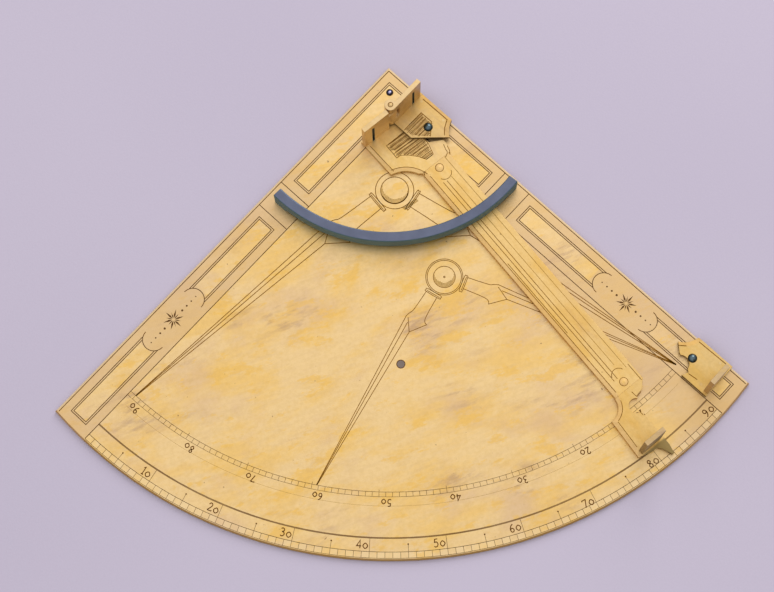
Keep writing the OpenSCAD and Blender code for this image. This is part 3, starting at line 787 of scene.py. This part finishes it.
# The next golds are a darker copy of the upper vanes' golds, painted shade for the lower vanes,
# whose seen faces lie in shade.
vane_golds = (0.70, 0.50, 0.27), (0.65, 0.44, 0.20), (0.64, 0.44, 0.24)
sight_gilt = gilt("gilt_sights", *sight_golds, 0.35, -45, upright_shade=0.75, paling=0.0)
upper_vane_gilt = gilt("gilt_upper_vane", *upper_vane_golds, 0.6, 0, upright_shade=0.25, slit=(90, 1))
vane_gilt = gilt("gilt_vane", *vane_golds, 0.6, 0, upright_shade=0.25)
softened("upper_sight_plate", "quadrant", sight_gilt)
softened("upper_sight_riser", "quadrant", sight_gilt)
softened("upper_stud_collar", "quadrant", sight_gilt)
softened("upper_sight_vane", "quadrant", upper_vane_gilt)
# The studs' domes turn near black where they lean over, as painted shade.
stud_blue = blued("blued_studs", (0.130, 0.185, 0.205), (0.022, 0.036, 0.040), 0.2)
finish_node("upper_sight_stud", stud_blue)
chance = np.random.default_rng(7)


def hatched(outline, turn, pitch, unevenness):
    """Parallel strokes inside an outline. In a frame turned with the strokes, each line of one y
    crosses the sides whose ends lie on either hand of it, and the crossings are taken in pairs.
    The strokes stand unevenly and stop a little short, as a hand sets them."""
    angle = np.radians(turn)
    spin = np.array([[np.cos(angle), np.sin(angle)], [-np.sin(angle), np.cos(angle)]])
    start = np.asarray(outline, dtype=float) @ spin.T
    end = np.roll(start, -1, axis=0)
    strokes = []
    rows = np.arange(start[:, 1].min() + pitch / 2, start[:, 1].max() - pitch / 4, pitch)
    for y in rows + chance.uniform(-unevenness, unevenness, len(rows)):
        crossing = (start[:, 1] - y) * (end[:, 1] - y) < 0
        p, q = start[crossing], end[crossing]
        x = np.sort(p[:, 0] + (y - p[:, 1]) / (q[:, 1] - p[:, 1]) * (q[:, 0] - p[:, 0]))
        for low, high in zip(x[::2], x[1::2]):
            length = high - low
            low = low + chance.uniform(0, 0.1) * length
            high = high - chance.uniform(0, 0.1) * length
            middle = [(low + high) / 2, y + chance.uniform(-0.15, 0.15)]
            strokes.append(np.array([[low, y], middle, [high, y]]) @ spin)
    return strokes


hatch_wax = wax("hatch_wax", (0.37, 0.215, 0.070))


def hatching(name, body, outline, reading, z):
    """Field of fine pale strokes with heavier dark ones among them."""
    fine = hatched(outline, turn=87, pitch=0.85, unevenness=0.15)
    heavy = hatched(outline, turn=89, pitch=2.1, unevenness=0.5)
    fine = [on_reading(reading, points, z) for points in fine]
    heavy = [on_reading(reading, points, z + 0.01 * mm) for points in heavy]
    cuts(name + "_fine", body, fine, hatch_wax, width=0.62)
    cuts(name + "_heavy", body, heavy, dark_wax, width=0.34)


raised_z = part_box("upper_sight_plate")[1].z
upper_lines = [
    [(6.2, 23.1), (26.4, 23.4), (29.0, 18.3), (32.2, 14.6)],
    [(11.4, 0.2), (11.4, 15.7), (20.2, 15.8), (26.2, 8.2)],
]
upper_field = [(11.4, 15.7), (19.6, 15.7), (25.8, 8.2), (17.6, 0.2), (11.4, 0.2)]
upper_lines = [on_reading(90, points, raised_z) for points in upper_lines]
cuts("upper_sight_lines", "quadrant", upper_lines, line_wax, width=0.55)
hatching("upper_sight_hatching", "quadrant", upper_field, 90, raised_z)

# Lower fixed sight: a notched plate with a plain vane and a blued stud, flush with the arm's foot.
lower_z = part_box("lower_sight_plate")[1].z
softened("lower_sight_plate", "quadrant", sight_gilt)
softened("lower_sight_vane", "quadrant", vane_gilt)
finish_node("lower_sight_stud", stud_blue)
lower_lines = [
    [(228.0, 13.2), (231.8, 16.2)],
    [(244.0, 4.0), (250.4, 4.8)],
    [(235.9, 23.4), (257.6, 24.0)],
]
lower_lines = [on_reading(90, points, lower_z) for points in lower_lines]
cuts("lower_sight_lines", "quadrant", lower_lines, line_wax, width=0.55)

# Sighting arm: a head, a long bar and a foot, halved together and riveted, with two vanes.
# Its low side has a wide bevel, and lines run along its face beside the fiducial edge.
arm_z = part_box("alidade_bar")[1].z
arm_golds = (0.89, 0.605, 0.245), (0.84, 0.515, 0.145), (0.78, 0.505, 0.220)
head_golds = (0.91, 0.640, 0.285), (0.86, 0.560, 0.185), (0.80, 0.540, 0.255)
foot_golds = (0.85, 0.565, 0.215), (0.79, 0.475, 0.130), (0.73, 0.475, 0.200)
arm_gilt = gilt("gilt_arm", *arm_golds, 0.3, -53, upright_shade=0.3)
head_gilt = gilt("gilt_head", *head_golds, 0.3, -53, upright_shade=0.3)
# The foot carries painted shadow beyond the lower vane.
foot_gilt = gilt("gilt_foot", *foot_golds, 0.3, -53, upright_shade=0.3, shade_beyond=(rest, 261.0))
softened("alidade_head", "alidade", head_gilt, 0.15)
softened("alidade_bar", "alidade", arm_gilt, 0.15)
softened("alidade_foot", "alidade", foot_gilt, 0.15)
arm_vane_gilt = gilt("gilt_arm_vane", *upper_vane_golds, 0.6, 0, upright_shade=0.1, slit=(rest, -1))
# The arm's lower vane takes the darker golds and stronger painted shade on its upright faces.
shaded_arm_vane_gilt = gilt("gilt_shaded_arm_vane", *vane_golds, 0.6, 0, upright_shade=0.6)
softened("alidade_upper_vane", "alidade", arm_vane_gilt)
softened("alidade_lower_vane", "alidade", shaded_arm_vane_gilt)
softened("alidade_rivets", "alidade", arm_gilt, 0.1)

bar_lines = [
    [(44.0, -4.3), (222.0, -4.3)],
    [(118.0, -3.2), (175.0, -3.2)],
    [(52.5, -0.6), (216.0, -0.6)],
    [(53.0, 1.9), (216.0, 1.9)],
    [*arc((47.7, 4.0), 4.6, -65, 70)],
    [*arc((215.0, 4.0), 4.5, 110, 250)],
    [(213.0, 12.8), (226.0, 12.8)],
    arc((43.5, 3.7), 2.6, 0, 360),
    arc((219.9, 3.7), 2.6, 0, 360),
]
head_lines = [
    smooth([(33.3, 15.4), (36.8, 14.3), (38.8, 13.9), (40.2, 11.9), (40.4, 10.8)]),
    [(35.5, 16.6), (38.6, 15.8), (41.2, 14.2)],
    [(5.0, -20.9), (27.0, -19.9)],
    arc((46.8, -26.0), 21.8, 103, 166),
    [(41.5, -6.7), (39.8, -5.9), (39.6, -4.4)],
]
hatch_outline = [
    *[(11.4, -12.9), (21.7, -12.9), (21.8, -10.0), (25.0, -5.9), (29.8, -1.7)],
    *[(34.2, 0.8), (34.2, 6.3), (27.0, 8.3), (11.2, 8.3)],
]
foot_lines = [
    arc((224.1, -17.2), 12.3, 12, 74),
    [(236.4, -15.2), (255.6, -16.4)],
    [(231.2, 7.9), (231.9, 3.8), (227.6, 3.3)],
    [(240.0, -0.8), (242.9, -0.6)],
]
arm_lines = bar_lines + head_lines + foot_lines + [[*hatch_outline, hatch_outline[0]]]
arm_lines = [on_reading(rest, points, arm_z) for points in arm_lines]
cuts("arm_lines", "alidade", arm_lines, line_wax, width=0.42)
rib_lines = [(52.5, 5.9), (208.0, 5.9)], [(40.0, 10.7), (214.0, 10.7)]
rib_lines = [on_reading(rest, points, arm_z) for points in rib_lines]
cuts("rib_lines", "alidade", rib_lines, pale_wax, width=0.34)
hatching("arm_hatching", "alidade", hatch_outline, rest, arm_z)
